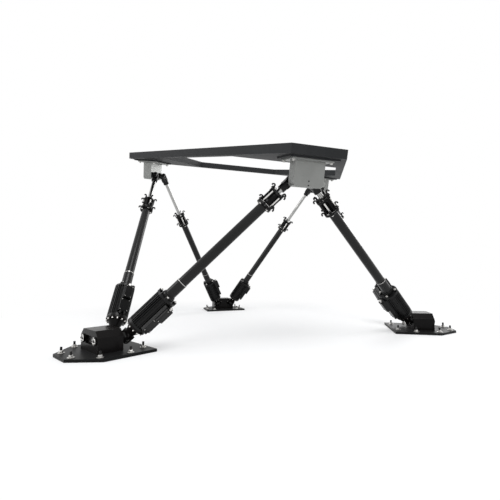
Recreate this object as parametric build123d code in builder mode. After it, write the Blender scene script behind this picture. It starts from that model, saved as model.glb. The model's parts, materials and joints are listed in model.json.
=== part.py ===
"""Electric six-leg motion base: three floor-bolted foot stations, six servo cylinders with
universal joints at both ends, and a triangular top frame, standing with the frame tilted."""
import os
from math import cos, radians, sin, tan

from build123d import *

# Layout of the joints, millimetres and degrees. Floor level is z = 0.
base_radius = 1500.0            # circle of the lower joint pairs
base_half_spacing = 99.0        # half the distance between the two joints of a station
joint_height = 100.0            # lower joint centres above the floor
top_radius = 1164.0             # circle of the upper joint pairs, in the frame's own plane
top_half_spacing = 81.0
platform_x = 31.5               # centre of the upper joints' plane in the pose shown
platform_y = -51.0
platform_z = 1536.0
platform_roll = 12.55           # turn about X, then
platform_pitch = 7.85           # turn about Y

# Foot stations
plate_inner = 1350.0            # radial positions of the foot plate's ends
plate_chamfer = 1726.0
plate_outer = 1899.0
plate_half_width = 279.0
plate_nose_half_width = 105.0
plate_thickness = 20.0
anchor_hole = 18.0
anchor_rows = ((1395.0, 165.0), (1530.0, 245.0), (1725.0, 225.0), (1854.0, 92.0))
housing_gap = 34.0              # joint centre to the housing's inner face
housing_length = 176.0
housing_half_width = 145.0
housing_height = 168.0          # above the floor
housing_shoulder = 45.0
housing_edge = 8.0
housing_recess_depth = 14.0
cap_radius = 29.0
cap_thickness = 9.0
cap_dish_radius = 19.0
cap_dish_depth = 3.0

# Joints at the legs' ends
running_clearance = 0.05
seat_gap = 0.3                  # side play between faces that turn against each other
lower_journal = 24.0            # radii
lower_pin = 14.0
lower_head = 30.0
lower_collar = 34.0
lower_collar_width = 3.0
head_width = 52.0
yoke_cheek = 16.0
yoke_cheek_radius = 26.0
yoke_crotch = 38.0
upper_journal = 19.0
upper_pin = 12.0
upper_head = 25.0
upper_head_width = 40.0
upper_collar = 34.0
open_pivot_clearance = 7.0      # radial room of the upper journal in its bracket
open_pivot_end = 6.0            # end room of the upper journal in its bracket
dust_collar_gap = 0.6           # dust collar to the bracket's face
dust_collar_width = 12.0

# Cylinders, measured along the leg from the lower joint
motor_foot = 120.0
motor_top = 410.0
collar_lower = 1389.0
collar_upper = 1513.0
motor_radius = 78.0
motor_core_radius = 67.0
motor_flange = 16.0
lug_count = 4
lug_circle = 67.0               # screw lugs standing on the motor's top flange
lug_radius = 15.0
lug_height = 12.0
fin_count = 30
fin_width = 5.0
bell_neck_radius = 29.0
box_width = 74.0
box_base_height = 18.0
box_start = 150.0
box_end = 380.0
box_cover_start = 262.0
box_cover_height = 18.0
box_cover_inset = 7.0
box_seat = 80.0                 # distance of the box's foot from the motor's axis
box_edge = 3.0
tube_radius = 38.3
tube_bore = 26.0
tube_foot_length = 22.0
tube_foot_radius = 50.0
tube_sleeve_length = 130.0
tube_sleeve_radius = 41.0
ring_thickness = 20.0
lower_ring_radius = 62.0
upper_ring_radius = 58.0
gland_radius = 31.0
tie_rod_radius = 6.0
tie_rod_circle = 48.0
tie_rod_count = 4
hook_count = 6
hook_bar = 9.0
hook_width = 12.0
hook_reach = 11.0               # radius of the hook's curl
hook_rise = 18.0
hook_lip = 7.0
spacer_circle = 45.0            # spacer blocks between the rings
spacer_depth = 18.0
spacer_width = 26.0

# Push rods, measured down from the upper joint
rod_radius = 20.0
rod_reach = 1150.0
piston_length = 60.0
rod_shoulder = 105.0
spigot_radius = 14.0
spigot_length = 36.0
fork_radius = 31.0
fork_crotch = 33.0
fork_neck = 40.0                # joint centre to the top of the round body
fork_cheek = 11.0
fork_cheek_radius = 22.0

# Top frame and brackets, in the frame's own plane with the joints at height 0
frame_lean = 60.0               # turn from a corner to the next side
frame_top = 222.0
frame_depth = 64.0
frame_wall = 8.0
corner_outer = 1425.0
corner_half_width = 208.0
corner_inner = 870.0
beam_width = 70.0
doubler_inner = 1120.0
doubler_outer = 1375.0
doubler_half_width = 190.0
doubler_thickness = 12.0
flange_inner = 1135.0
flange_outer = 1345.0
flange_half_width = 160.0
flange_thickness = 12.0
bracket_gap = 40.0              # joint centre to the bracket's bearing block
bracket_block = 70.0
bracket_front = 1300.0
bracket_front_thickness = 10.0
bracket_half_width = 117.0
bracket_bottom = 50.0           # below the joint centres
bracket_corner = 28.0
payload_hole = 14.0
payload_columns = ((1380.0, 150.0), (1000.0, 380.0))

base_stations = {1: -120.0, 2: 0.0, 3: 120.0}
top_corners = {1: 180.0, 2: -60.0, 3: 60.0}
# leg: base station, side, top corner, side, turn of the junction box about the leg
legs = {
    1: (1, -1, 1, 1, 180.0),
    2: (1, 1, 2, -1, 180.0),
    3: (3, 1, 1, -1, 0.0),
    4: (3, -1, 3, 1, 0.0),
    5: (2, -1, 2, 1, -60.0),
    6: (2, 1, 3, -1, -90.0),
}

def save(part, label):
    """Label a finished piece and write it as its own STEP file."""
    part.label = label
    export_step(part, "parts/" + label + ".step")


def turned(plane, angle):
    """The same plane turned about its own normal."""
    return Plane(plane.location * Location((0, 0, 0), (0, 0, angle)))


def station_plane(number):
    """Floor plane with x pointing outward through a foot station."""
    return turned(Plane.XY, base_stations[number])


roll = radians(platform_roll)
pitch = radians(platform_pitch)
platform_plane = Plane(
    origin=(platform_x, platform_y, platform_z),
    x_dir=(cos(pitch), 0, -sin(pitch)),
    z_dir=(sin(pitch) * cos(roll), -sin(roll), cos(pitch) * cos(roll)),
)


def corner_plane(number):
    """Plane of the upper joints with x pointing outward through a frame corner."""
    return turned(platform_plane, top_corners[number])


def side_plane(plane, offset=0.0):
    """Plane across a station or corner: its x runs sideways, its y runs up, at a radial offset."""
    return Plane(origin=plane.from_local_coords(Vector(offset, 0, 0)), x_dir=plane.y_dir, z_dir=plane.x_dir)


def section_plane(plane):
    """Plane that holds the given plane's normal as its y, for revolved profiles."""
    return Plane(origin=plane.origin, x_dir=plane.x_dir, z_dir=-plane.y_dir)


def leg_frames(number):
    """Planes at a leg's lower and upper joint, normals along the leg, x along the cross pins."""
    base, base_side, corner, top_side, _ = legs[number]
    station = station_plane(base)
    top = corner_plane(corner)
    lower = station.from_local_coords(Vector(base_radius, base_side * base_half_spacing, joint_height))
    upper = top.from_local_coords(Vector(top_radius, top_side * top_half_spacing, 0))
    along = (upper - lower).normalized()
    lower_plane = Plane(origin=lower, x_dir=station.x_dir.cross(along), z_dir=along)
    upper_plane = Plane(origin=upper, x_dir=top.x_dir.cross(along), z_dir=along)
    return lower_plane, upper_plane


def make_foot_plate(number):
    with BuildPart() as foot_plate:
        with BuildSketch(station_plane(number)):
            with BuildLine():
                Polyline(
                    (plate_inner, -plate_half_width),
                    (plate_chamfer, -plate_half_width),
                    (plate_outer, -plate_nose_half_width),
                    (plate_outer, plate_nose_half_width),
                    (plate_chamfer, plate_half_width),
                    (plate_inner, plate_half_width),
                    close=True,
                )
            make_face()
            for position, offset in anchor_rows:
                with Locations((position, offset), (position, -offset)):
                    Circle(anchor_hole / 2, mode=Mode.SUBTRACT)
        extrude(amount=plate_thickness)
    save(foot_plate.part, f"foot_plate_{number}")


def make_pivot_housing(number):
    """Arch-topped bearing block with two through bores; each outer end has a dished cap."""
    inner_end = base_radius + housing_gap
    outer_end = inner_end + housing_length
    shoulder_top = housing_half_width - housing_shoulder
    bore_places = [(side * base_half_spacing, joint_height) for side in (-1, 1)]
    with BuildPart() as pivot_housing:
        with BuildSketch(side_plane(station_plane(number), inner_end)):
            with BuildLine():
                Polyline(
                    (-housing_half_width, plate_thickness),
                    (housing_half_width, plate_thickness),
                    (housing_half_width, housing_height - housing_shoulder),
                    (shoulder_top, housing_height),
                    (-shoulder_top, housing_height),
                    (-housing_half_width, housing_height - housing_shoulder),
                    close=True,
                )
            make_face()
            with Locations(*bore_places):
                Circle(lower_journal + running_clearance, mode=Mode.SUBTRACT)
        extrude(amount=housing_length)
        ridges = pivot_housing.edges().filter_by(Axis((0, 0, 0), station_plane(number).x_dir))
        for ridge_group in ridges.group_by(Axis.Z)[-2:]:
            fillet(ridge_group, housing_edge)
        recess_width = 2 * (base_half_spacing - cap_radius) - 2 * housing_edge
        with BuildSketch(side_plane(station_plane(number), outer_end)):
            with Locations((0, joint_height)):
                Rectangle(recess_width, 2 * cap_radius)
        extrude(amount=-housing_recess_depth, mode=Mode.SUBTRACT)
        with BuildSketch(side_plane(station_plane(number), outer_end)):
            with Locations(*bore_places):
                Circle(cap_radius)
        extrude(amount=cap_thickness)
        with BuildSketch(side_plane(station_plane(number), outer_end + cap_thickness)):
            with Locations(*bore_places):
                Circle(cap_dish_radius)
        extrude(amount=-cap_dish_depth, mode=Mode.SUBTRACT)
    save(pivot_housing.part, f"pivot_housing_{number}")


def make_lower_knuckle(number):
    """Head and cross pin for the drive yoke, with a journal that turns in the housing."""
    plane, _ = leg_frames(number)
    station = station_plane(legs[number][0])
    journal = Plane(origin=plane.origin, x_dir=(0, 0, 1), z_dir=station.x_dir)
    across = Plane(origin=plane.origin, x_dir=(0, 0, 1), z_dir=plane.x_dir)
    pin_half = head_width / 2 + seat_gap + yoke_cheek + seat_gap
    with BuildPart() as lower_knuckle:
        with BuildSketch(across):
            Circle(lower_head)
        extrude(amount=head_width / 2, both=True)
        with BuildSketch(across):
            Circle(lower_pin)
        extrude(amount=pin_half, both=True)
        with BuildSketch(journal):
            Circle(lower_journal)
        extrude(amount=housing_gap + housing_length - cap_thickness)
        with BuildSketch(journal.offset(housing_gap - seat_gap - lower_collar_width)):
            Circle(lower_collar)
        extrude(amount=lower_collar_width)
    save(lower_knuckle.part, f"lower_knuckle_{number}")


def make_drive_yoke(number):
    """Fork over the lower knuckle that widens through a bell to the motor's flange."""
    plane, _ = leg_frames(number)
    gap = head_width / 2 + seat_gap
    across = Plane(origin=plane.origin, x_dir=plane.y_dir, z_dir=plane.x_dir)
    bell_start = lower_head + yoke_cheek
    flange_start = motor_foot - motor_flange
    with BuildPart() as drive_yoke:
        with BuildSketch(across):
            Circle(yoke_cheek_radius)
            with Locations((0, bell_start / 2)):
                Rectangle(2 * yoke_cheek_radius, bell_start)
        extrude(amount=gap + yoke_cheek, both=True)
        with BuildSketch(section_plane(plane)):
            with BuildLine():
                Polyline(
                    (0, yoke_crotch),
                    (bell_neck_radius, yoke_crotch),
                    (bell_neck_radius + yoke_cheek / 2, bell_start + yoke_cheek / 2),
                    (motor_radius - motor_flange, flange_start),
                    (motor_radius, flange_start),
                    (motor_radius, motor_foot),
                    (0, motor_foot),
                    close=True,
                )
            make_face()
        revolve(axis=Axis(plane.origin, plane.z_dir))
        with BuildSketch(across):
            Circle(yoke_crotch)
            with Locations((0, -lower_head)):
                Rectangle(2 * yoke_crotch, 2 * lower_head)
        extrude(amount=gap, both=True, mode=Mode.SUBTRACT)
        with BuildSketch(across):
            Circle(lower_pin + running_clearance)
        extrude(amount=2 * motor_radius, both=True, mode=Mode.SUBTRACT)
    save(drive_yoke.part, f"drive_yoke_{number}")


def make_motor(number):
    """Finned motor between two round flanges, with its junction box and cover on one side."""
    plane, _ = leg_frames(number)
    box_plane = turned(plane, legs[number][4])
    with BuildPart() as motor:
        with BuildSketch(plane.offset(motor_foot)):
            Circle(motor_radius)
        extrude(amount=motor_flange)
        with BuildSketch(plane.offset(motor_foot + motor_flange)):
            Circle(motor_core_radius)
            with PolarLocations(motor_core_radius, fin_count):
                Rectangle(2 * (motor_radius - motor_core_radius), fin_width)
        extrude(amount=motor_top - motor_foot - 2 * motor_flange)
        with BuildSketch(plane.offset(motor_top - motor_flange)):
            Circle(motor_radius)
        extrude(amount=motor_flange)
        with BuildSketch(box_plane.offset(motor_top - motor_flange)):
            with PolarLocations(lug_circle, lug_count, start_angle=180 / lug_count):
                Circle(lug_radius)
        extrude(amount=motor_flange + lug_height)
        with BuildSketch(box_plane.offset(box_start)):
            with Locations(((motor_core_radius + box_seat) / 2, 0)):
                Rectangle(box_seat - motor_core_radius + fin_width, box_width)
        extrude(amount=box_end - box_start)
    cover_width = box_width - 2 * box_cover_inset
    cover_start = box_seat + box_base_height
    with BuildPart() as junction_box:
        with BuildSketch(box_plane.offset(box_start)):
            with Locations((box_seat + box_base_height / 2, 0)):
                Rectangle(box_base_height, box_width)
        extrude(amount=box_end - box_start)
        with BuildSketch(box_plane.offset(box_cover_start)):
            with Locations((cover_start + box_cover_height / 2, 0)):
                Rectangle(box_cover_height, cover_width)
        extrude(amount=box_end - box_cover_start - box_cover_inset)
        fillet(junction_box.edges().filter_by(Axis(plane.origin, plane.z_dir)), box_edge)
    save(Compound(children=[motor.part, junction_box.part]), f"motor_{number}")


def make_tube(number):
    """Cylinder tube with a stepped foot, bored for the push rod and its guide nut."""
    plane, _ = leg_frames(number)
    sleeve_start = motor_top + tube_foot_length
    with BuildPart() as tube:
        with BuildSketch(section_plane(plane)):
            with BuildLine():
                Polyline(
                    (0, motor_top),
                    (tube_foot_radius, motor_top),
                    (tube_foot_radius, sleeve_start),
                    (tube_sleeve_radius, sleeve_start),
                    (tube_sleeve_radius, sleeve_start + tube_sleeve_length),
                    (tube_radius, sleeve_start + tube_sleeve_length),
                    (tube_radius, collar_lower),
                    (tube_bore, collar_lower),
                    (tube_bore, sleeve_start),
                    (0, sleeve_start),
                    close=True,
                )
            make_face()
        revolve(axis=Axis(plane.origin, plane.z_dir))
    save(tube.part, f"tube_{number}")


def make_end_collar(number):
    """Two hooked rings joined by tie rods and blocks, with the rod's gland bush between them."""
    plane, _ = leg_frames(number)
    lower_start = collar_lower - ring_thickness
    upper_start = collar_upper - ring_thickness
    hook_step = 360 / hook_count
    with BuildPart() as end_collar:
        with BuildSketch(plane.offset(lower_start)):
            Circle(lower_ring_radius)
            Circle(tube_radius + running_clearance, mode=Mode.SUBTRACT)
        extrude(amount=ring_thickness)
        with BuildSketch(plane.offset(collar_lower)):
            Circle(tube_radius + ring_thickness / 2)
            Circle(rod_radius + running_clearance, mode=Mode.SUBTRACT)
        extrude(amount=ring_thickness / 2)
        with BuildSketch(plane.offset(collar_lower)):
            Circle(gland_radius)
            Circle(rod_radius + running_clearance, mode=Mode.SUBTRACT)
        extrude(amount=collar_upper - collar_lower)
        with BuildSketch(plane.offset(upper_start)):
            Circle(upper_ring_radius)
            Circle(rod_radius + running_clearance, mode=Mode.SUBTRACT)
        extrude(amount=ring_thickness)
        with BuildSketch(plane.offset(collar_lower)):
            with PolarLocations(tie_rod_circle, tie_rod_count):
                Circle(tie_rod_radius)
            with PolarLocations(spacer_circle, tie_rod_count, start_angle=180 / tie_rod_count):
                Rectangle(spacer_depth, spacer_width)
        extrude(amount=upper_start - collar_lower)
        for rim, face in ((lower_ring_radius, collar_lower), (upper_ring_radius, collar_upper)):
            foot = face - ring_thickness / 2
            top = face + hook_rise
            middle = rim + hook_reach - hook_bar / 2
            inner = hook_reach - hook_bar / 2
            outer = hook_reach + hook_bar / 2
            for index in range(hook_count):
                with BuildSketch(section_plane(turned(plane, index * hook_step))):
                    with BuildLine():
                        Line((middle - outer, foot), (middle - outer, top))
                        ThreePointArc((middle - outer, top), (middle, top + outer), (middle + outer, top))
                        Polyline(
                            (middle + outer, top),
                            (middle + outer, top - hook_lip),
                            (middle + inner, top - hook_lip),
                            (middle + inner, top),
                        )
                        ThreePointArc((middle + inner, top), (middle, top + inner), (middle - inner, top))
                        Polyline((middle - inner, top), (middle - inner, foot), (middle - outer, foot))
                    make_face()
                extrude(amount=hook_width / 2, both=True)
    save(end_collar.part, f"end_collar_{number}")


def make_rod(number):
    """Polished push rod with the guide nut at its foot and a spigot for the fork."""
    _, plane = leg_frames(number)
    foot = -rod_reach
    with BuildPart() as rod:
        with BuildSketch(section_plane(plane)):
            with BuildLine():
                Polyline(
                    (0, foot),
                    (tube_bore - running_clearance, foot),
                    (tube_bore - running_clearance, foot + piston_length),
                    (rod_radius, foot + piston_length),
                    (rod_radius, -rod_shoulder - seat_gap),
                    (spigot_radius, -rod_shoulder - seat_gap),
                    (spigot_radius, -rod_shoulder + spigot_length),
                    (0, -rod_shoulder + spigot_length),
                    close=True,
                )
            make_face()
        revolve(axis=Axis(plane.origin, plane.z_dir))
    save(rod.part, f"rod_{number}")


def make_rod_fork(number):
    """Fork that turns on the rod's spigot and straddles the upper knuckle."""
    _, plane = leg_frames(number)
    gap = upper_head_width / 2 + seat_gap
    cheek_length = rod_shoulder - spigot_length - 2 * seat_gap
    across = Plane(origin=plane.origin, x_dir=plane.y_dir, z_dir=plane.x_dir)
    with BuildPart() as rod_fork:
        with BuildSketch(plane.offset(-rod_shoulder)):
            Circle(fork_radius)
            Circle(spigot_radius + running_clearance, mode=Mode.SUBTRACT)
        extrude(amount=spigot_length + seat_gap)
        with BuildSketch(plane.offset(-rod_shoulder + spigot_length + seat_gap)):
            Circle(fork_radius)
        extrude(amount=rod_shoulder - spigot_length - seat_gap - fork_neck)
        with BuildSketch(across):
            Circle(fork_cheek_radius)
            with Locations((0, -cheek_length / 2)):
                Rectangle(2 * fork_cheek_radius, cheek_length)
        extrude(amount=gap + fork_cheek, both=True)
        with BuildSketch(across):
            Circle(fork_crotch)
            with Locations((0, upper_head)):
                Rectangle(2 * fork_crotch, 2 * upper_head)
        extrude(amount=gap, both=True, mode=Mode.SUBTRACT)
        with BuildSketch(across):
            Circle(upper_pin + running_clearance)
        extrude(amount=2 * fork_radius, both=True, mode=Mode.SUBTRACT)
    save(rod_fork.part, f"rod_fork_{number}")


def make_upper_knuckle(number):
    """Head and cross pin in the rod's fork, with a journal and dust collar for the top bracket."""
    _, plane = leg_frames(number)
    top = corner_plane(legs[number][2])
    journal = Plane(origin=plane.origin, x_dir=top.z_dir, z_dir=top.x_dir)
    across = Plane(origin=plane.origin, x_dir=top.z_dir, z_dir=plane.x_dir)
    pin_half = upper_head_width / 2 + seat_gap + fork_cheek + seat_gap
    collar_end = bracket_gap - dust_collar_gap
    with BuildPart() as upper_knuckle:
        with BuildSketch(across):
            Circle(upper_head)
        extrude(amount=upper_head_width / 2, both=True)
        with BuildSketch(across):
            Circle(upper_pin)
        extrude(amount=pin_half, both=True)
        with BuildSketch(journal):
            Circle(upper_journal)
        extrude(amount=bracket_gap + bracket_block - open_pivot_end)
        with BuildSketch(journal.offset(collar_end)):
            Circle(upper_collar)
        extrude(amount=-dust_collar_width)
    save(upper_knuckle.part, f"upper_knuckle_{number}")


def make_top_bracket(number):
    """Plate-built box under a frame corner: flange, bearing block with two bores, front plate."""
    plane = corner_plane(number)
    flange_top = frame_top - frame_depth - doubler_thickness
    block_start = top_radius + bracket_gap
    block_end = bracket_front - bracket_front_thickness
    height = flange_top - flange_thickness + bracket_bottom
    middle = (flange_top - flange_thickness - bracket_bottom) / 2
    bore_places = [(side * top_half_spacing, 0) for side in (-1, 1)]
    with BuildPart() as top_bracket:
        with BuildSketch(plane.offset(flange_top - flange_thickness)):
            with Locations(((flange_inner + flange_outer) / 2, 0)):
                Rectangle(flange_outer - flange_inner, 2 * flange_half_width)
        extrude(amount=flange_thickness)
        with BuildSketch(side_plane(plane, block_end)):
            with Locations((0, middle)):
                Rectangle(2 * bracket_half_width, height)
        extrude(amount=bracket_front_thickness)
        with BuildSketch(side_plane(plane, block_start)):
            with Locations((0, middle)):
                Rectangle(2 * bracket_half_width, height)
            with Locations(*bore_places):
                Circle(upper_journal + open_pivot_clearance, mode=Mode.SUBTRACT)
        extrude(amount=bracket_block)
        with BuildSketch(side_plane(plane, block_start + bracket_block)):
            with Locations((0, middle)):
                Rectangle(2 * bracket_half_width, height)
        extrude(amount=block_end - block_start - bracket_block)
        long_edges = top_bracket.edges().filter_by(Axis(plane.origin, plane.x_dir))
        fillet(long_edges.group_by(Axis(plane.origin, plane.z_dir))[0], bracket_corner)
    save(top_bracket.part, f"top_bracket_{number}")


def side_line(position):
    """Half width of the frame's outline at a distance from its centre, towards a corner."""
    return corner_half_width + (corner_outer - position) / tan(radians(frame_lean))


def make_frame_third(number):
    """Welded third of the frame: a hollow corner box with a doubler plate below it, and a side tube."""
    plane = corner_plane(number)
    side = turned(plane, frame_lean)
    bottom = frame_top - frame_depth
    lean = radians(frame_lean)
    side_distance = corner_outer * cos(lean) + corner_half_width * sin(lean)
    end_out = (corner_inner, side_line(corner_inner))
    end_in = (end_out[0] - beam_width * cos(lean), end_out[1] - beam_width * sin(lean))
    void_out = (end_out[0] - frame_wall * cos(lean), end_out[1] - frame_wall * sin(lean))
    void_in = (end_in[0] + frame_wall * cos(lean), end_in[1] + frame_wall * sin(lean))
    void_inner = end_in[0] + frame_wall
    void_inner_half = void_in[1] - (void_inner - void_in[0]) / tan(lean)
    void_outer = corner_outer - frame_wall
    void_outer_half = void_out[1] - (void_outer - void_out[0]) / tan(lean)
    tube_half = end_out[0] * sin(lean) - end_out[1] * cos(lean)
    with BuildPart() as frame_third:
        with BuildSketch(plane.offset(bottom)):
            with BuildLine():
                Polyline(
                    (end_in[0], -end_in[1]),
                    (end_out[0], -end_out[1]),
                    (corner_outer, -corner_half_width),
                    (corner_outer, corner_half_width),
                    end_out,
                    end_in,
                    close=True,
                )
            make_face()
        extrude(amount=frame_depth)
        with BuildSketch(plane.offset(bottom + frame_wall)):
            with BuildLine():
                Polyline(
                    (void_out[0], -void_out[1]),
                    (void_outer, -void_outer_half),
                    (void_outer, void_outer_half),
                    void_out,
                    void_in,
                    (void_inner, void_inner_half),
                    (void_inner, -void_inner_half),
                    (void_in[0], -void_in[1]),
                    close=True,
                )
            make_face()
        extrude(amount=frame_depth - 2 * frame_wall, mode=Mode.SUBTRACT)
        with BuildSketch(Plane(origin=side.from_local_coords(Vector(0, -tube_half, 0)), x_dir=side.x_dir,
                               z_dir=side.y_dir)):
            with Locations((side_distance - beam_width / 2, -(bottom + frame_depth / 2))):
                Rectangle(beam_width, frame_depth)
                Rectangle(beam_width - 2 * frame_wall, frame_depth - 2 * frame_wall, mode=Mode.SUBTRACT)
        extrude(amount=2 * tube_half)
        with BuildSketch(plane.offset(bottom - doubler_thickness)):
            with Locations(((doubler_inner + doubler_outer) / 2, 0)):
                Rectangle(doubler_outer - doubler_inner, 2 * doubler_half_width)
        extrude(amount=doubler_thickness)
        with BuildSketch(plane.offset(frame_top)):
            for position, offset in payload_columns:
                with Locations((position, offset), (position, -offset)):
                    Circle(payload_hole / 2)
        extrude(amount=-frame_wall, mode=Mode.SUBTRACT)
    save(frame_third.part, f"frame_third_{number}")


def main():
    os.makedirs("parts", exist_ok=True)
    for number in base_stations:
        make_foot_plate(number)
        make_pivot_housing(number)
    for number in legs:
        make_lower_knuckle(number)
        make_drive_yoke(number)
        make_motor(number)
        make_tube(number)
        make_end_collar(number)
        make_rod(number)
        make_rod_fork(number)
        make_upper_knuckle(number)
    for number in top_corners:
        make_top_bracket(number)
        make_frame_third(number)


main()
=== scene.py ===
"""Looks of the six-leg motion base: materials, fasteners and fittings round the fixed model."""

import json
import math

import bmesh
import bpy
from mathutils import Matrix, Vector


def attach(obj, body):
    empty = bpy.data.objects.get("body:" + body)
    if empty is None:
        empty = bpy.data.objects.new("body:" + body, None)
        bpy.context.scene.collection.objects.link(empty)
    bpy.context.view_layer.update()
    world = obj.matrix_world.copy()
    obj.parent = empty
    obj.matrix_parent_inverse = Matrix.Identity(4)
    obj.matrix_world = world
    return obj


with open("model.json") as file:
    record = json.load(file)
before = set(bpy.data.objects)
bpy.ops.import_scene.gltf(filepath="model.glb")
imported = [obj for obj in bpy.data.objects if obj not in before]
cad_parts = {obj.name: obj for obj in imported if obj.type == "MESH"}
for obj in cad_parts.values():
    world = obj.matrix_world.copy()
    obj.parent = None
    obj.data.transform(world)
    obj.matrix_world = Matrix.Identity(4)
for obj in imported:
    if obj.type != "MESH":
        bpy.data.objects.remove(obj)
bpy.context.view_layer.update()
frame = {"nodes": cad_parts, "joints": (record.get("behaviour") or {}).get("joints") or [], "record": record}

# Camera of the photograph, metres and radians
CAMERA_PLACE = (0.732, -3.450, 0.552)
CAMERA_YAW = -0.223
CAMERA_PITCH = 0.071
CAMERA_ROLL = -0.005
CAMERA_LENS = 23.34
SENSOR = 36.0

JOINTS = {joint["name"]: joint for joint in frame["joints"]}
LEGS = range(1, 7)
TRIPLE = range(1, 4)
STATION_TURN = {1: -120.0, 2: 0.0, 3: 120.0}
CORNER_TURN = {1: 180.0, 2: -60.0, 3: 60.0}
LEG_BOX_TURN = {1: 180.0, 2: 180.0, 3: 0.0, 4: 0.0, 5: -60.0, 6: -90.0}
MM = 0.001
SHARP_ANGLE = 35.0


# Node trees

def new_material(name):
    material = bpy.data.materials.new(name)
    material.use_nodes = True
    nodes = material.node_tree.nodes
    shader = next(node for node in nodes if node.type == "BSDF_PRINCIPLED")
    return material, nodes, material.node_tree.links, shader


def noise(nodes, links, source, scale, detail=4.0, roughness=0.55):
    node = nodes.new("ShaderNodeTexNoise")
    node.inputs["Scale"].default_value = scale
    node.inputs["Detail"].default_value = detail
    node.inputs["Roughness"].default_value = roughness
    links.new(source, node.inputs["Vector"])
    return node.outputs["Fac"]


def ramp(nodes, links, source, stops):
    node = nodes.new("ShaderNodeValToRGB")
    elements = node.color_ramp.elements
    while len(elements) < len(stops):
        elements.new(0.5)
    for element, (place, value) in zip(elements, stops):
        element.position = place
        element.color = (*value, 1.0) if isinstance(value, tuple) else (value, value, value, 1.0)
    links.new(source, node.inputs["Fac"])
    return node.outputs["Color"]


def painted(name, dark, light, rough, rough_spread, grain, bump, coat=0.0, metallic=0.0, edge=None, shine=0.06):
    """Paint or anodising with slow colour drift, uneven gloss, fine orange peel and worn edges."""
    material, nodes, links, shader = new_material(name)
    place = nodes.new("ShaderNodeTexCoord").outputs["Object"]
    slow = noise(nodes, links, place, 3.1, 5.0, 0.6)
    fine = noise(nodes, links, place, grain, 3.0, 0.5)
    colour = ramp(nodes, links, slow, [(0.3, dark), (0.7, light)])
    if edge is not None:
        geometry = nodes.new("ShaderNodeNewGeometry").outputs["Pointiness"]
        worn = ramp(nodes, links, geometry, [(0.53, 0.0), (0.60, 1.0)])
        scratch = ramp(nodes, links, noise(nodes, links, place, 38.0, 6.0, 0.7), [(0.5, 0.0), (0.62, 1.0)])
        both = nodes.new("ShaderNodeMath")
        both.operation = "MULTIPLY"
        links.new(worn, both.inputs[0])
        links.new(scratch, both.inputs[1])
        mix = nodes.new("ShaderNodeMix")
        mix.data_type = "RGBA"
        links.new(both.outputs[0], mix.inputs[0])
        links.new(colour, mix.inputs[6])
        mix.inputs[7].default_value = (*edge, 1.0)
        colour = mix.outputs[2]
    links.new(colour, shader.inputs["Base Color"])
    gloss = ramp(nodes, links, slow, [(0.25, rough - rough_spread), (0.75, rough + rough_spread)])
    links.new(gloss, shader.inputs["Roughness"])
    shader.inputs["Metallic"].default_value = metallic
    shader.inputs["Coat Weight"].default_value = coat
    shader.inputs["Coat Roughness"].default_value = 0.18
    shader.inputs["Specular IOR Level"].default_value = shine
    relief = nodes.new("ShaderNodeBump")
    relief.inputs["Strength"].default_value = bump
    relief.inputs["Distance"].default_value = 0.0006
    links.new(fine, relief.inputs["Height"])
    links.new(relief.outputs["Normal"], shader.inputs["Normal"])
    return material


def bright_metal(name, colour, rough, stretch, brushed=0.12):
    """Bare or plated metal with fine turning or brushing marks along one direction."""
    material, nodes, links, shader = new_material(name)
    place = nodes.new("ShaderNodeTexCoord").outputs["Object"]
    mapping = nodes.new("ShaderNodeMapping")
    mapping.inputs["Scale"].default_value = stretch
    links.new(place, mapping.inputs["Vector"])
    lines = noise(nodes, links, mapping.outputs["Vector"], 60.0, 4.0, 0.6)
    slow = noise(nodes, links, place, 9.0, 4.0, 0.6)
    tone = tuple(channel * 0.86 for channel in colour)
    links.new(ramp(nodes, links, slow, [(0.3, tone), (0.7, colour)]), shader.inputs["Base Color"])
    links.new(ramp(nodes, links, lines, [(0.3, rough * 0.8), (0.7, rough * 1.25)]), shader.inputs["Roughness"])
    shader.inputs["Metallic"].default_value = 1.0
    relief = nodes.new("ShaderNodeBump")
    relief.inputs["Strength"].default_value = brushed
    relief.inputs["Distance"].default_value = 0.0003
    links.new(lines, relief.inputs["Height"])
    links.new(relief.outputs["Normal"], shader.inputs["Normal"])
    return material


# Slot: dark colour, light colour, roughness, its spread, grain, bump, and what else the finish has
PAINTS = {
    "black_plate": ((0.007, 0.007, 0.0075), (0.011, 0.011, 0.011), 0.40, 0.05, 420.0, 0.12, {}),
    "black_casting": ((0.0045, 0.004, 0.004), (0.007, 0.006, 0.006), 0.30, 0.05, 260.0, 0.08,
                      {"coat": 0.06}),
    "dark_steel": ((0.016, 0.016, 0.017), (0.026, 0.026, 0.025), 0.32, 0.04, 320.0, 0.08,
                   {"metallic": 0.7}),
    "motor_black": ((0.0045, 0.0045, 0.005), (0.007, 0.007, 0.007), 0.28, 0.04, 300.0, 0.06,
                    {"coat": 0.06, "shine": 0.15}),
    "tube_black": ((0.006, 0.006, 0.006), (0.009, 0.009, 0.009), 0.24, 0.03, 500.0, 0.03,
                   {"coat": 0.08, "shine": 0.18}),
    "collar_black": ((0.005, 0.005, 0.005), (0.009, 0.0085, 0.0085), 0.34, 0.05, 300.0, 0.06,
                     {"edge": (0.07, 0.07, 0.07)}),
    "bracket_grey": ((0.24, 0.245, 0.235), (0.30, 0.305, 0.295), 0.34, 0.05, 240.0, 0.06,
                     {"metallic": 0.55}),
    "frame_charcoal": ((0.024, 0.025, 0.026), (0.032, 0.033, 0.034), 0.52, 0.05, 200.0, 0.08, {}),
}
MATERIALS = {slot: painted(slot, *look, **more) for slot, (*look, more) in PAINTS.items()}
MATERIALS["chromed_rod"] = bright_metal("chromed_rod", (0.44, 0.44, 0.43), 0.16, (1.0, 1.0, 8.0), 0.0)
ZINC = bright_metal("zinc", (0.62, 0.61, 0.59), 0.32, (3.0, 3.0, 1.0))
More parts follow.
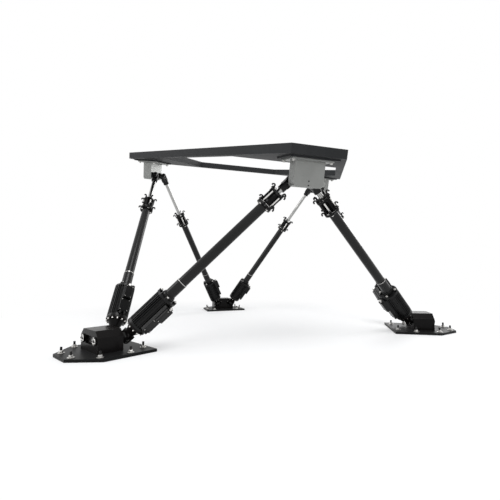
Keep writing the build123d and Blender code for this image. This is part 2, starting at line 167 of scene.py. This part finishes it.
STAINLESS = bright_metal("stainless", (0.72, 0.71, 0.69), 0.24, (1.0, 1.0, 6.0))
BLACK_OXIDE = painted("black_oxide", (0.016, 0.016, 0.017), (0.035, 0.034, 0.033), 0.40, 0.08, 600.0, 0.25,
                      metallic=0.6)

for entry in frame["record"]["subparts"]:
    node = frame["nodes"][entry["node"]]
    node.data.materials.clear()
    node.data.materials.append(MATERIALS[entry["material_slot"]])


# Mesh helpers: every shape is made in a local frame, in millimetres, and placed by a matrix

def axes_matrix(origin, x_axis, z_axis):
    """Frame with the given x and z, in metres, for shapes made in millimetres."""
    z = Vector(z_axis).normalized()
    x = Vector(x_axis)
    x = (x - z * x.dot(z)).normalized()
    y = z.cross(x)
    turn = Matrix((x, y, z)).transposed().to_4x4()
    return Matrix.Translation(Vector(origin)) @ turn @ Matrix.Scale(MM, 4)


def flat_turn(angle):
    return Matrix.Rotation(math.radians(angle), 4, "Z")


class Shape:
    """A mesh under construction."""

    def __init__(self):
        self.mesh = bmesh.new()

    def loft(self, rings, close_ends=True):
        """Join rings of equal point counts into a skin, with capped ends."""
        made = [[self.mesh.verts.new(point) for point in ring] for ring in rings]
        count = len(made[0])
        for lower, upper in zip(made, made[1:]):
            for index in range(count):
                after = (index + 1) % count
                self.mesh.faces.new((lower[index], lower[after], upper[after], upper[index]))
        if close_ends:
            self.mesh.faces.new(list(reversed(made[0])))
            self.mesh.faces.new(made[-1])

    def turned(self, profile, place=None, sides=32):
        """Solid of revolution about local z: profile is (radius, height) pairs from bottom to top."""
        place = place or Matrix.Identity(4)
        rings = []
        for radius, height in profile:
            ring = []
            for index in range(sides):
                angle = 2 * math.pi * index / sides
                ring.append(place @ Vector((radius * math.cos(angle), radius * math.sin(angle), height)))
            rings.append(ring)
        self.loft(rings)

    def ring(self, profile, place=None, sides=48):
        """Closed ring of revolution: profile is a closed loop of (radius, height) pairs."""
        place = place or Matrix.Identity(4)
        loops = []
        for index in range(sides):
            angle = 2 * math.pi * index / sides
            loops.append([
                self.mesh.verts.new(place @ Vector((radius * math.cos(angle), radius * math.sin(angle), height)))
                for radius, height in profile
            ])
        count = len(profile)
        for index in range(sides):
            here, there = loops[index], loops[(index + 1) % sides]
            for step in range(count):
                after = (step + 1) % count
                self.mesh.faces.new((here[step], there[step], there[after], here[after]))

    def box(self, size, place, edge=0.0):
        """Block centred on the place, with softened vertical and top edges."""
        half_x, half_y, half_z = (side / 2 for side in size)
        rings = []
        inset_levels = [(0.0, -half_z), (0.0, half_z)] if edge <= 0 else [
            (edge, -half_z), (0.0, -half_z + edge), (0.0, half_z - edge), (edge, half_z)]
        for inset, height in inset_levels:
            x, y = half_x - inset, half_y - inset
            cut = max(edge, 0.01)
            ring = [(x - cut, -y), (x, -y + cut), (x, y - cut), (x - cut, y),
                    (-x + cut, y), (-x, y - cut), (-x, -y + cut), (-x + cut, -y)]
            rings.append([place @ Vector((px, py, height)) for px, py in ring])
        self.loft(rings)

    def hexagon(self, across, height, place):
        """Hexagon nut or head with chamfered corners, standing on the place."""
        corner = across / math.sqrt(3)
        bevel = corner * 0.12
        self.turned([(corner - bevel, 0), (corner, bevel), (corner, height - bevel), (corner - bevel, height)],
                    place, 6)

    def socket_screw(self, radius, height, place):
        """Cap screw head with a hexagon socket."""
        self.turned([(radius, 0), (radius, height * 0.85), (radius * 0.9, height), (radius * 0.55, height),
                     (radius * 0.5, height * 0.45)], place, 20)

    def finish(self, name, matrix, material, body):
        """Turn the mesh into a piece, place it and let it ride on its body."""
        bmesh.ops.recalc_face_normals(self.mesh, faces=self.mesh.faces)
        data = bpy.data.meshes.new(name)
        self.mesh.to_mesh(data)
        self.mesh.free()
        data.transform(matrix)
        piece = bpy.data.objects.new(name, data)
        bpy.context.scene.collection.objects.link(piece)
        data.materials.append(material)
        data.polygons.foreach_set("use_smooth", [True] * len(data.polygons))
        data.set_sharp_from_angle(angle=math.radians(SHARP_ANGLE))
        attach(piece, body)


def at(x, y, z):
    return Matrix.Translation(Vector((x, y, z)))


def around(count, radius, height, start=0.0):
    """Places on a circle about local z, each facing up with its x pointing outward."""
    return [flat_turn(start + 360.0 * index / count) @ at(radius, 0, height) for index in range(count)]


def leg_matrix(number):
    """Leg frame at the lower joint: z along the leg, x along the lower cross pin."""
    swing = JOINTS[f"lower_tilt_{number}"]
    return axes_matrix(swing["pos_m"], swing["axis"], JOINTS[f"rod_extend_{number}"]["axis"])


def top_matrix(number):
    """Leg frame at the upper joint: z along the leg, x along the upper cross pin."""
    tilt = JOINTS[f"upper_tilt_{number}"]
    return axes_matrix(tilt["pos_m"], tilt["axis"], JOINTS[f"rod_extend_{number}"]["axis"])


# Construction sizes, millimetres, as the model has them
MOTOR_FOOT, MOTOR_FLANGE, PIN_END = 120.0, 16.0, 42.6
LUG_CIRCLE, LUG_TOP = 67.0, 422.0
BOX_SEAT, BOX_BASE, BOX_COVER = 80.0, 18.0, 18.0
BOX_WIDTH, BOX_START, BOX_END, BOX_COVER_START, BOX_INSET = 74.0, 150.0, 380.0, 262.0, 7.0
TUBE_FOOT_TOP, SLEEVE_TOP, SLEEVE_RADIUS = 432.0, 562.0, 41.0
COLLAR_LOWER, COLLAR_UPPER, RING, TIE_CIRCLE, TIE_RADIUS = 1389.0, 1513.0, 20.0, 48.0, 6.0
TIE_NUT, ANCHOR_NUT, FLANGE_NUT = (17, 9), (25, 14), (19, 10)
ROD_RADIUS, FORK_PIN_END = 20.0, 31.6
PLATE_TOP, CAP_FACE, CAP_HEIGHT, CAP_SPACING = 20.0, 1719.0, 100.0, 99.0
ANCHOR_ROWS = ((1395.0, 165.0), (1530.0, 245.0), (1725.0, 225.0), (1854.0, 92.0))
BRACKET_FRONT, FLANGE_BOTTOM, FLANGE_HALF, FLANGE_INNER, FLANGE_OUTER = 1300.0, 134.0, 160.0, 1135.0, 1345.0
DOWN = Matrix.Rotation(math.pi, 4, "X")


def sideways(sign):
    """Turns local z to point along x, to either side."""
    return Matrix.Rotation(sign * math.pi / 2, 4, "Y")


OUTWARD = sideways(1)


def yoke_fittings(number):
    """Retaining discs on the lower cross pin and the ring of screws under the motor's flange."""
    matrix = leg_matrix(number)
    discs = Shape()
    screws = Shape()
    for sign in (1, -1):
        face = sideways(sign) @ at(0, 0, PIN_END)
        discs.turned([(19, 0), (20, 0.8), (20, 3.2), (19, 4), (9, 4), (8.2, 3)], face, 36)
        for place in around(3, 13.5, 4.0, 30):
            screws.socket_screw(2.8, 2.4, face @ place)
    body = f"lower_knuckle_{number}"
    discs.finish(f"lower_pin_discs_{number}", matrix, MATERIALS["dark_steel"], body)
    screws.finish(f"lower_pin_screws_{number}", matrix, STAINLESS, body)
    ring = Shape()
    for place in around(12, 70.0, MOTOR_FOOT - MOTOR_FLANGE, 15):
        ring.turned([(7.6, 0), (7.6, 1.4)], place @ DOWN, 20)
        ring.socket_screw(5.8, 9.5, place @ DOWN @ at(0, 0, 1.4))
    ring.finish(f"bell_screws_{number}", matrix, ZINC, f"cylinder_{number}")


def motor_fittings(number):
    """Screws on the motor's lugs and the ring at the foot of the sleeve."""
    matrix = leg_matrix(number)
    body = f"cylinder_{number}"
    foot = Shape()
    screws = Shape()
    for place in around(4, LUG_CIRCLE, LUG_TOP, 45 + LEG_BOX_TURN[number]):
        screws.turned([(10, 0), (10, 1.5)], place, 24)
        screws.socket_screw(7.5, 8.0, place @ at(0, 0, 1.5))
    foot.ring([(SLEEVE_RADIUS + 5, TUBE_FOOT_TOP), (SLEEVE_RADIUS + 5, TUBE_FOOT_TOP + 6),
               (SLEEVE_RADIUS + 3, TUBE_FOOT_TOP + 9), (SLEEVE_RADIUS + 0.1, TUBE_FOOT_TOP + 9),
               (SLEEVE_RADIUS + 0.1, TUBE_FOOT_TOP)])
    foot.finish(f"sleeve_foot_{number}", matrix, MATERIALS["motor_black"], body)
    screws.finish(f"motor_screws_{number}", matrix, ZINC, body)
    clip = Shape()
    clip.ring([(SLEEVE_RADIUS + 0.8, SLEEVE_TOP - 5), (SLEEVE_RADIUS + 0.8, SLEEVE_TOP - 1.5),
               (SLEEVE_RADIUS + 0.05, SLEEVE_TOP - 1.5), (SLEEVE_RADIUS + 0.05, SLEEVE_TOP - 5)])
    clip.finish(f"sleeve_clip_{number}", matrix, STAINLESS, body)


def box_fittings(number):
    """Lid, screws, gasket, cable glands and round connector of the junction box."""
    matrix = leg_matrix(number) @ flat_turn(LEG_BOX_TURN[number])
    body = f"cylinder_{number}"
    cover_top = BOX_SEAT + BOX_BASE + BOX_COVER
    cover_end = BOX_END - BOX_INSET
    cover_mid = (BOX_COVER_START + cover_end) / 2
    cover_width = BOX_WIDTH - 2 * BOX_INSET
    lid = Shape()
    lid.box((cover_end - BOX_COVER_START - 4, cover_width - 4, 4.0),
            at(cover_top + 2, 0, cover_mid) @ OUTWARD, 1.2)
    lid.box((BOX_END - BOX_START - 14, BOX_WIDTH + 3, 3.0),
            at(BOX_SEAT + 5, 0, (BOX_START + BOX_END) / 2) @ OUTWARD, 1.0)
    lid.finish(f"box_lid_{number}", matrix, MATERIALS["motor_black"], body)
    screws = Shape()
    for z in (BOX_COVER_START + 9, cover_end - 9):
        for y in (-cover_width / 2 + 8, cover_width / 2 - 8):
            screws.socket_screw(3.2, 3.0, at(cover_top + 4, y, z) @ OUTWARD)
    for z in (BOX_START + 12, BOX_COVER_START - 12):
        for y in (-BOX_WIDTH / 2 + 9, BOX_WIDTH / 2 - 9):
            screws.socket_screw(3.6, 3.4, at(BOX_SEAT + BOX_BASE, y, z) @ OUTWARD)
    screws.finish(f"box_screws_{number}", matrix, ZINC, body)
    glands = Shape()
    for y in (-17, 17):
        root = at(BOX_SEAT + BOX_BASE / 2 + 1, y, BOX_START) @ DOWN
        glands.hexagon(17, 6, root)
        glands.turned([(7.4, 6), (8.2, 7), (8.2, 15), (6.0, 19), (4.8, 19.5)], root, 24)
    glands.finish(f"box_glands_{number}", matrix, BLACK_OXIDE, body)
    connector = Shape()
    top = at(BOX_SEAT + BOX_BASE + 7, 0, cover_end)
    connector.hexagon(18, 5, top)
    connector.turned([(9, 5), (9, 9), (10.5, 10), (10.5, 20), (9.5, 21), (6.5, 21), (6.2, 17)], top, 28)
    connector.finish(f"box_connector_{number}", matrix, ZINC, body)


def collar_fittings(number):
    """Tie-rod sleeves and nuts, plated ring and rod wiper of the end collar."""
    matrix = leg_matrix(number)
    body = f"cylinder_{number}"
    span = COLLAR_UPPER - RING - COLLAR_LOWER - RING / 2
    rods = Shape()
    for place in around(4, TIE_CIRCLE, COLLAR_LOWER + RING / 2):
        rods.turned([(TIE_RADIUS + 1.4, 0), (TIE_RADIUS + 1.4, span)], place, 24)
    for place in around(4, TIE_CIRCLE, COLLAR_UPPER):
        rods.hexagon(*TIE_NUT, place)
        rods.turned([(5.2, 9), (5.2, 15), (4.4, 16)], place, 18)
    for place in around(4, TIE_CIRCLE, COLLAR_LOWER - RING):
        rods.hexagon(*TIE_NUT, place @ DOWN)
    rods.ring([(ROD_RADIUS + 1, COLLAR_LOWER), (56, COLLAR_LOWER), (57, COLLAR_LOWER + 0.8),
               (57, COLLAR_LOWER + 3.2), (56, COLLAR_LOWER + 4), (ROD_RADIUS + 1, COLLAR_LOWER + 4)])
    rods.finish(f"tie_rods_{number}", matrix, STAINLESS, body)
    wiper = Shape()
    wiper.ring([(ROD_RADIUS + 0.3, COLLAR_UPPER), (ROD_RADIUS + 8, COLLAR_UPPER),
                (ROD_RADIUS + 7, COLLAR_UPPER + 1.5), (ROD_RADIUS + 3, COLLAR_UPPER + 2.5),
                (ROD_RADIUS + 0.3, COLLAR_UPPER + 2.5)])
    wiper.finish(f"rod_wiper_{number}", matrix, MATERIALS["collar_black"], body)


def rod_end_fittings(number):
    """Discs on the upper cross pin."""
    matrix = top_matrix(number)
    discs = Shape()
    for sign in (1, -1):
        face = sideways(sign) @ at(0, 0, FORK_PIN_END)
        discs.turned([(15, 0), (16, 0.8), (16, 3.2), (15, 4), (7, 4), (6.4, 3)], face, 32)
    body = f"upper_knuckle_{number}"
    discs.finish(f"upper_pin_discs_{number}", matrix, MATERIALS["dark_steel"], body)


def station_fittings(number):
    """Floor anchors of one foot plate and the polished centres of its housing's caps."""
    matrix = Matrix.Scale(MM, 4) @ flat_turn(STATION_TURN[number])
    nuts = Shape()
    studs = Shape()
    for radius, offset in ANCHOR_ROWS:
        for sign in (1, -1):
            place = at(radius, sign * offset, PLATE_TOP) @ flat_turn(17 * sign + radius)
            nuts.turned([(22, 0), (23, 0.8), (23, 3.2), (22, 4)], place, 32)
            nuts.hexagon(*ANCHOR_NUT, place @ at(0, 0, 4))
            studs.turned([(7.8, 2), (7.8, 40), (6.8, 42)], place, 24)
    nuts.finish(f"anchor_nuts_{number}", matrix, ZINC, "base")
    studs.finish(f"anchor_studs_{number}", matrix, BLACK_OXIDE, "base")
    centres = Shape()
    screws = Shape()
    for sign in (1, -1):
        face = at(CAP_FACE, sign * CAP_SPACING, CAP_HEIGHT) @ OUTWARD
        centres.turned([(18.2, -2.9), (18.2, -1.5), (16.5, 0.2), (13, 0.2), (12, -0.8), (3, -0.8), (2, -2)],
                       face, 40)
        centres.ring([(20, 0), (27.5, 0), (28.3, 0.5), (28.3, 1), (27.5, 1.5), (20, 1.5)], face)
        for place in around(6, 24.5, 1.5, 30):
            screws.socket_screw(2.7, 2.2, face @ place)
        screws.turned([(10.5, -0.8), (10.5, 0.8), (9.5, 1.4), (5, 1.4), (4.4, 0.2)], face, 32)
    centres.finish(f"cap_centres_{number}", matrix, STAINLESS, "base")
    screws.finish(f"cap_screws_{number}", matrix, BLACK_OXIDE, "base")


def corner_fittings(number):
    """Bolts of one top bracket's flange and front plate."""
    matrix = PLATFORM @ flat_turn(CORNER_TURN[number])
    bolts = Shape()
    for radius in (FLANGE_INNER + 16, FLANGE_OUTER - 16):
        for offset in (-FLANGE_HALF + 16, FLANGE_HALF - 16):
            place = at(radius, offset, FLANGE_BOTTOM) @ DOWN
            bolts.turned([(13, 0), (13, 2)], place, 28)
            bolts.hexagon(*FLANGE_NUT, place @ at(0, 0, 2))
    bolts.finish(f"flange_bolts_{number}", matrix, ZINC, "platform")
    screws = Shape()
    for height in (-4.0, -34.0):
        screws.socket_screw(5.0, 3.5, at(BRACKET_FRONT, 0, height) @ OUTWARD)
    screws.finish(f"front_screws_{number}", matrix, BLACK_OXIDE, "platform")


def platform_matrix():
    """Frame of the upper joints: origin at their centre, z along the frame's normal."""
    joints = {leg: Vector(JOINTS[f"upper_tilt_{leg}"]["pos_m"]) for leg in LEGS}
    centre = sum(joints.values(), Vector()) / len(joints)
    corners = [(joints[1] + joints[3]) / 2, (joints[2] + joints[5]) / 2, (joints[4] + joints[6]) / 2]
    normal = (corners[1] - corners[0]).cross(corners[2] - corners[0]).normalized()
    if normal.z < 0:
        normal.negate()
    outward = Matrix.Rotation(math.radians(-CORNER_TURN[2]), 3, normal) @ (corners[1] - centre)
    return axes_matrix(centre, outward, normal)


PLATFORM = platform_matrix()

for leg in LEGS:
    yoke_fittings(leg)
    motor_fittings(leg)
    box_fittings(leg)
    collar_fittings(leg)
    rod_end_fittings(leg)
for place_number in TRIPLE:
    station_fittings(place_number)
    corner_fittings(place_number)


# Stage: floor, light and camera

def plane_mesh(name, half):
    mesh = bpy.data.meshes.new(name)
    corners = [(-half, -half, 0), (half, -half, 0), (half, half, 0), (-half, half, 0)]
    mesh.from_pydata(corners, [], [(0, 1, 2, 3)])
    piece = bpy.data.objects.new(name, mesh)
    bpy.context.scene.collection.objects.link(piece)
    return piece


def seen_directly(nodes, links):
    """1 for camera, glossy and transmission rays, 0 for light that bounces off onto the object."""
    path = nodes.new("ShaderNodeLightPath")
    total = path.outputs["Is Camera Ray"]
    for name in ("Is Glossy Ray", "Is Transmission Ray"):
        larger = nodes.new("ShaderNodeMath")
        larger.operation = "MAXIMUM"
        links.new(total, larger.inputs[0])
        links.new(path.outputs[name], larger.inputs[1])
        total = larger.outputs[0]
    return total


def make_floor():
    """Pale floor that turns plain white away from the object and keeps the shadow round it."""
    floor = plane_mesh("floor", 40.0)
    floor.location.z = -0.0005
    material, nodes, links, shader = new_material("floor_pale")
    shader.inputs["Base Color"].default_value = (0.9, 0.9, 0.9, 1.0)
    shader.inputs["Roughness"].default_value = 0.7
    place = nodes.new("ShaderNodeTexCoord").outputs["Object"]
    length = nodes.new("ShaderNodeVectorMath")
    length.operation = "LENGTH"
    links.new(place, length.inputs[0])
    scaled = nodes.new("ShaderNodeMath")
    scaled.operation = "DIVIDE"
    scaled.inputs[1].default_value = 10.0
    links.new(length.outputs["Value"], scaled.inputs[0])
    away = ramp(nodes, links, scaled.outputs[0], [(0.18, 0.35), (0.34, 1.0)])
    amount = nodes.new("ShaderNodeMath")
    amount.operation = "MULTIPLY"
    links.new(away, amount.inputs[0])
    links.new(seen_directly(nodes, links), amount.inputs[1])
    white = nodes.new("ShaderNodeEmission")
    mix = nodes.new("ShaderNodeMixShader")
    links.new(amount.outputs[0], mix.inputs["Fac"])
    links.new(shader.outputs[0], mix.inputs[1])
    links.new(white.outputs[0], mix.inputs[2])
    output = next(node for node in nodes if node.type == "OUTPUT_MATERIAL")
    links.new(mix.outputs[0], output.inputs["Surface"])
    floor.data.materials.append(material)


def area_light(name, place, target, size, power):
    light = bpy.data.lights.new(name, "AREA")
    light.shape = "DISK"
    light.size = size
    light.energy = power
    lamp = bpy.data.objects.new(name, light)
    bpy.context.scene.collection.objects.link(lamp)
    lamp.location = place
    lamp.rotation_euler = (Vector(target) - Vector(place)).to_track_quat("-Z", "Y").to_euler()


def make_world():
    world = bpy.data.worlds.new("studio")
    bpy.context.scene.world = world
    world.use_nodes = True
    nodes = world.node_tree.nodes
    links = world.node_tree.links
    nodes.clear()
    light = nodes.new("ShaderNodeBackground")
    light.inputs["Color"].default_value = (0.95, 0.97, 1.0, 1.0)
    light.inputs["Strength"].default_value = 0.55
    white = nodes.new("ShaderNodeBackground")
    white.inputs["Color"].default_value = (1.0, 1.0, 1.0, 1.0)
    white.inputs["Strength"].default_value = 1.0
    mix = nodes.new("ShaderNodeMixShader")
    links.new(seen_directly(nodes, links), mix.inputs["Fac"])
    links.new(light.outputs[0], mix.inputs[1])
    links.new(white.outputs[0], mix.inputs[2])
    out = nodes.new("ShaderNodeOutputWorld")
    links.new(mix.outputs[0], out.inputs["Surface"])


def make_camera():
    data = bpy.data.cameras.new("camera")
    data.sensor_width = SENSOR
    data.lens = CAMERA_LENS
    data.clip_end = 200.0
    camera = bpy.data.objects.new("camera", data)
    bpy.context.scene.collection.objects.link(camera)
    flat = math.cos(CAMERA_PITCH)
    forward = Vector((math.sin(CAMERA_YAW) * flat, math.cos(CAMERA_YAW) * flat, math.sin(CAMERA_PITCH)))
    right = Vector((math.cos(CAMERA_YAW), -math.sin(CAMERA_YAW), 0))
    up = right.cross(forward)
    rolled_right = right * math.cos(CAMERA_ROLL) + up * math.sin(CAMERA_ROLL)
    rolled_up = up * math.cos(CAMERA_ROLL) - right * math.sin(CAMERA_ROLL)
    turn = Matrix((rolled_right, rolled_up, -forward)).transposed().to_4x4()
    camera.matrix_world = Matrix.Translation(Vector(CAMERA_PLACE)) @ turn
    bpy.context.scene.camera = camera


make_floor()
make_world()
area_light("key", (1.5, -3.5, 6.0), (0, 0, 0.8), 4.0, 260.0)
area_light("fill_left", (-6.0, -3.0, 3.0), (0, 0, 0.8), 4.0, 140.0)
area_light("rim_back", (3.0, 6.0, 4.0), (0, 0, 1.0), 4.0, 180.0)
make_camera()
bpy.context.scene.view_settings.view_transform = "Standard"

bpy.context.view_layer.update()
